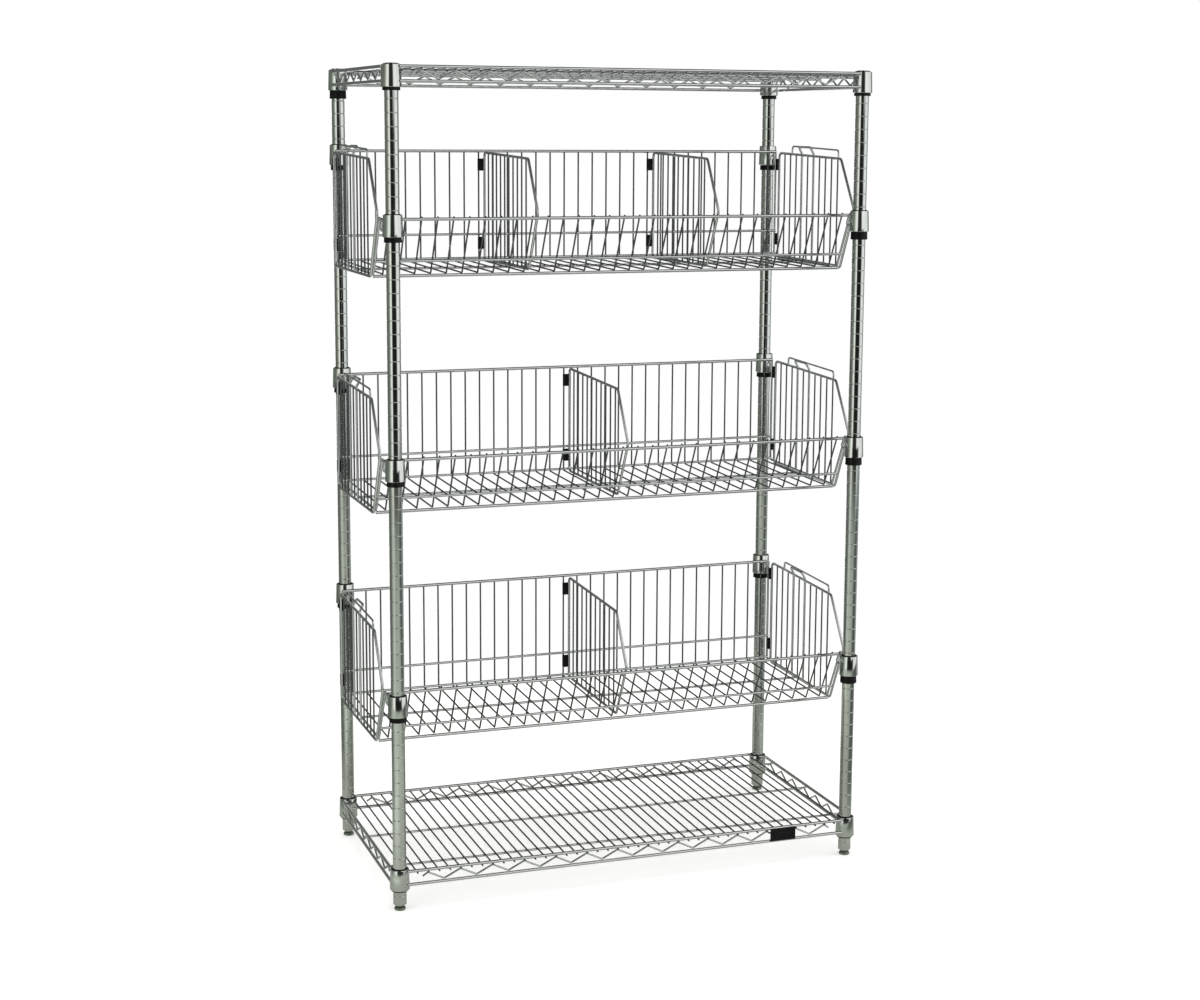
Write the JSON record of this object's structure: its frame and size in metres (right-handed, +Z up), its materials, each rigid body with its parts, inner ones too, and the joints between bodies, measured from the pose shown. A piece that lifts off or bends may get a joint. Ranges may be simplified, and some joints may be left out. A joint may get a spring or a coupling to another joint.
{
  "type": "wire basket shelving unit",
  "caption": "Free-standing wire shelving unit: round posts on levelling feet carry open wire baskets with end panels and dividers between a top and a bottom truss shelf.",
  "frame": {"origin": "on the floor, at the centre of the rectangle of the posts", "axes": "+Z up, +X to the right along the front, +Y to the back; the baskets' open, sloping fronts face -Y"},
  "size_m": [0.9948, 0.4928, 1.6175],
  "materials": {
    "zinc_steel": "bright zinc plated, slightly grey-green",
    "foot_steel": "dull zinc plated",
    "black_plastic": "moulded, satin"
  },
  "bodies": {
    "frame": {"post_front_left": "zinc_steel", "post_front_right": "zinc_steel", "post_back_left": "zinc_steel", "post_back_right": "zinc_steel", "bottom_shelf": "zinc_steel", "label_plate": "black_plastic", "sleeve_bottom_shelf_front_left": "black_plastic", "sleeve_bottom_shelf_front_right": "black_plastic", "sleeve_bottom_shelf_back_left": "black_plastic", "sleeve_bottom_shelf_back_right": "black_plastic", "sleeve_lower_basket_front_left": "black_plastic", "sleeve_lower_basket_front_right": "black_plastic", "sleeve_lower_basket_back_left": "black_plastic", "sleeve_lower_basket_back_right": "black_plastic", "sleeve_middle_basket_front_left": "black_plastic", "sleeve_middle_basket_front_right": "black_plastic", "sleeve_middle_basket_back_left": "black_plastic", "sleeve_middle_basket_back_right": "black_plastic", "sleeve_upper_basket_front_left": "black_plastic", "sleeve_upper_basket_front_right": "black_plastic", "sleeve_upper_basket_back_left": "black_plastic", "sleeve_upper_basket_back_right": "black_plastic", "sleeve_top_shelf_front_left": "black_plastic", "sleeve_top_shelf_front_right": "black_plastic", "sleeve_top_shelf_back_left": "black_plastic", "sleeve_top_shelf_back_right": "black_plastic"},
    "top_shelf": {"top_shelf": "zinc_steel"},
    "lower_basket": {"lower_basket_back_grid": "zinc_steel", "lower_basket_floor_grid": "zinc_steel", "lower_basket_lip_grid": "zinc_steel", "lower_basket_left_end_panel": "zinc_steel", "lower_basket_right_end_panel": "zinc_steel", "lower_basket_divider": "zinc_steel", "lower_basket_divider_upper_clip": "black_plastic", "lower_basket_divider_lower_clip": "black_plastic"},
    "middle_basket": {"middle_basket_back_grid": "zinc_steel", "middle_basket_floor_grid": "zinc_steel", "middle_basket_lip_grid": "zinc_steel", "middle_basket_left_end_panel": "zinc_steel", "middle_basket_right_end_panel": "zinc_steel", "middle_basket_divider": "zinc_steel", "middle_basket_divider_upper_clip": "black_plastic", "middle_basket_divider_lower_clip": "black_plastic"},
    "upper_basket": {"upper_basket_back_grid": "zinc_steel", "upper_basket_floor_grid": "zinc_steel", "upper_basket_lip_grid": "zinc_steel", "upper_basket_left_end_panel": "zinc_steel", "upper_basket_right_end_panel": "zinc_steel", "upper_basket_left_divider": "zinc_steel", "upper_basket_left_divider_upper_clip": "black_plastic", "upper_basket_left_divider_lower_clip": "black_plastic", "upper_basket_right_divider": "zinc_steel", "upper_basket_right_divider_upper_clip": "black_plastic", "upper_basket_right_divider_lower_clip": "black_plastic"},
    "front_left_foot": {"foot_front_left": "foot_steel"},
    "front_right_foot": {"foot_front_right": "foot_steel"},
    "back_left_foot": {"foot_back_left": "foot_steel"},
    "back_right_foot": {"foot_back_right": "foot_steel"}
  },
  "joints": [
    {"name": "top_shelf_lift", "type": "slide", "parent": "frame", "child": "top_shelf", "axis": [0, 0, 1], "range_m": [0, 0.05]},
    {"name": "upper_basket_lift", "type": "slide", "parent": "frame", "child": "upper_basket", "axis": [0, 0, 1], "range_m": [0, 0.075]},
    {"name": "middle_basket_lift", "type": "slide", "parent": "frame", "child": "middle_basket", "axis": [0, 0, 1], "range_m": [0, 0.075]},
    {"name": "lower_basket_lift", "type": "slide", "parent": "frame", "child": "lower_basket", "axis": [0, 0, 1], "range_m": [0, 0.075]},
    {"name": "front_left_foot_screw", "type": "slide", "parent": "frame", "child": "front_left_foot", "axis": [0, 0, 1], "range_m": [-0.012, 0.004]},
    {"name": "front_right_foot_screw", "type": "slide", "parent": "frame", "child": "front_right_foot", "axis": [0, 0, 1], "range_m": [-0.012, 0.004]},
    {"name": "back_left_foot_screw", "type": "slide", "parent": "frame", "child": "back_left_foot", "axis": [0, 0, 1], "range_m": [-0.012, 0.004]},
    {"name": "back_right_foot_screw", "type": "slide", "parent": "frame", "child": "back_right_foot", "axis": [0, 0, 1], "range_m": [-0.012, 0.004]}
  ]
}
